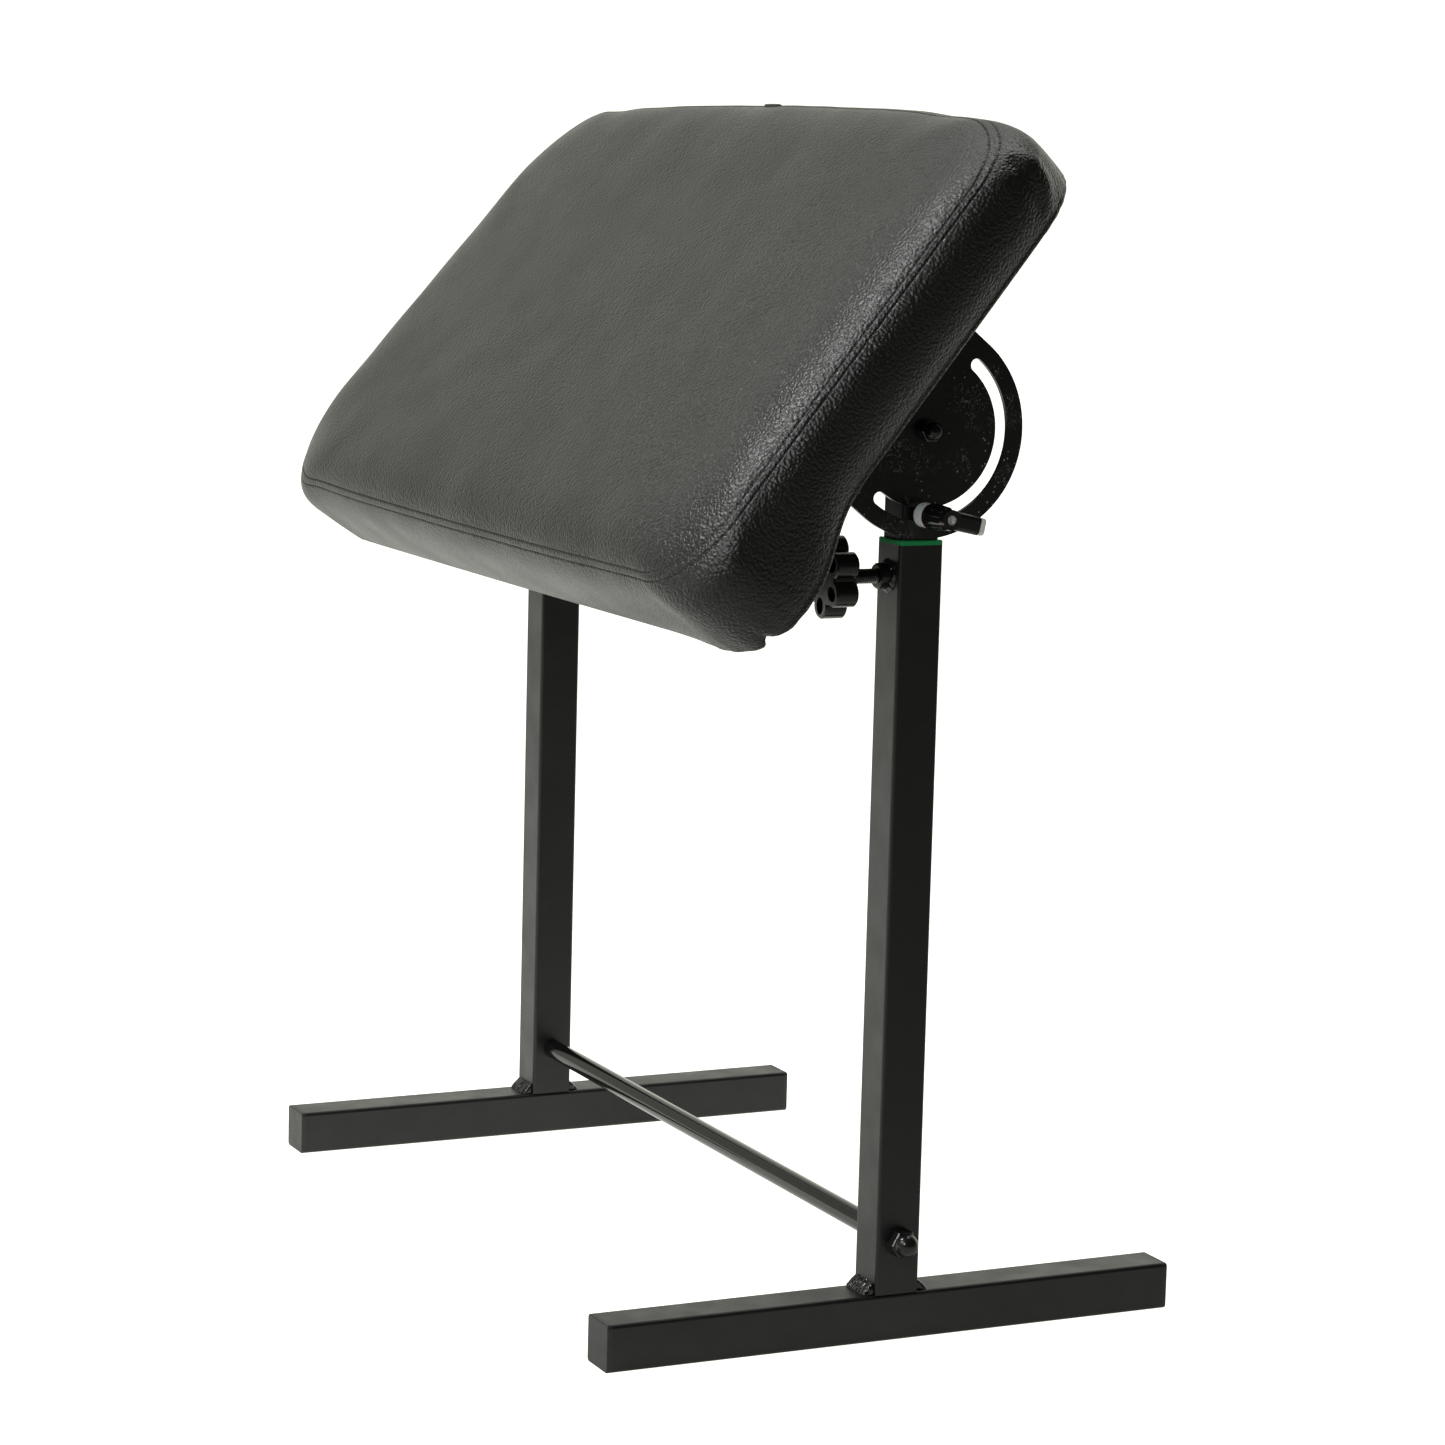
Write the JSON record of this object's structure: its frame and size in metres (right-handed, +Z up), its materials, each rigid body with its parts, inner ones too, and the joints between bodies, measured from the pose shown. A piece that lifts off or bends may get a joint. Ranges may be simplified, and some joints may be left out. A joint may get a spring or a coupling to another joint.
{
  "type": "tilting arm and leg rest",
  "caption": "Padded rest for an arm or leg: a cushion on slotted tilt plates, on telescoping square posts with foot bars and a cross bar.",
  "frame": {"origin": "on the floor, midway between the two posts, under the tilt axis", "axes": "+Z up; X along the tilt axis from one post to the other; Y along the foot bars, star knobs on the -Y side"},
  "size_m": [0.744, 0.421, 0.827],
  "materials": {
    "frame_steel": "gloss black powder coat",
    "mast_steel": "satin black powder coat",
    "plate_steel": "gloss black hammered powder coat with small runs",
    "weld_bead": "painted weld bead",
    "bar_steel": "gloss black paint",
    "black_fastener": "black oxide, light oil sheen",
    "zinc_fastener": "zinc-plated steel",
    "plug_plastic": "matt black polyethylene",
    "sleeve_plastic": "translucent green polypropylene",
    "knob_plastic": "textured black glass-filled nylon",
    "lever_plastic": "textured black zinc and nylon",
    "white_plastic": "white nylon",
    "cover_vinyl": "black pebble-grain leather-look vinyl",
    "foam": "upholstery foam",
    "board_wood": "birch plywood",
    "dust_cloth": "black non-woven dust cloth"
  },
  "bodies": {
    "stand": {"foot_bar_left": "frame_steel", "foot_bar_right": "frame_steel", "foot_end_plugs": "plug_plastic", "outer_post_left": "frame_steel", "outer_post_right": "frame_steel", "post_welds": "weld_bead", "cross_bar": "bar_steel", "tie_rod": "zinc_fastener", "bar_washers": "black_fastener", "bar_cap_nuts": "black_fastener", "guide_sleeve_left": "sleeve_plastic", "guide_sleeve_right": "sleeve_plastic", "knob_bosses": "black_fastener", "boss_welds": "weld_bead"},
    "mast": {"inner_post_left": "mast_steel", "inner_post_right": "mast_steel", "inner_post_caps": "plug_plastic", "pivot_bolts": "black_fastener", "pivot_cap_nuts": "black_fastener", "pivot_spacers": "zinc_fastener", "pivot_washers": "black_fastener", "clamp_bolts": "black_fastener", "clamp_spacers": "white_plastic"},
    "pad": {"tilt_plate_left": "plate_steel", "tilt_plate_right": "plate_steel", "plate_screws": "zinc_fastener", "pad_board": "board_wood", "pad_foam": "foam", "pad_cover": "cover_vinyl", "dust_cover": "dust_cloth"},
    "knob_left": {"star_knob_left": "knob_plastic", "knob_stud_left": "black_fastener"},
    "knob_right": {"star_knob_right": "knob_plastic", "knob_stud_right": "black_fastener"},
    "lever_left": {"clamp_lever_left": "lever_plastic", "lever_screw_left": "zinc_fastener", "lever_end_cap_left": "white_plastic"},
    "lever_right": {"clamp_lever_right": "lever_plastic", "lever_screw_right": "zinc_fastener", "lever_end_cap_right": "white_plastic"}
  },
  "joints": [
    {"name": "height", "type": "slide", "parent": "stand", "child": "mast", "axis": [0, 0, 1], "range_m": [0, 0.25]},
    {"name": "pad_tilt", "type": "hinge", "parent": "mast", "child": "pad", "pos_m": [0, 0, 0.6077], "axis": [1, 0, 0], "range_deg": [-140, 10.5]},
    {"name": "knob_turn_left", "type": "hinge", "parent": "stand", "child": "knob_left", "pos_m": [-0.2965, -0.057, 0.512], "axis": [0, -1, 0], "range_deg": [0, 720]},
    {"name": "knob_turn_right", "type": "hinge", "parent": "stand", "child": "knob_right", "pos_m": [0.2965, -0.057, 0.512], "axis": [0, -1, 0], "range_deg": [0, 720]},
    {"name": "lever_turn_left", "type": "hinge", "parent": "mast", "child": "lever_left", "pos_m": [-0.33, 0, 0.5531], "axis": [-1, 0, 0], "range_deg": [0, 180]},
    {"name": "lever_turn_right", "type": "hinge", "parent": "mast", "child": "lever_right", "pos_m": [0.33, 0, 0.5531], "axis": [1, 0, 0], "range_deg": [0, 180]}
  ]
}
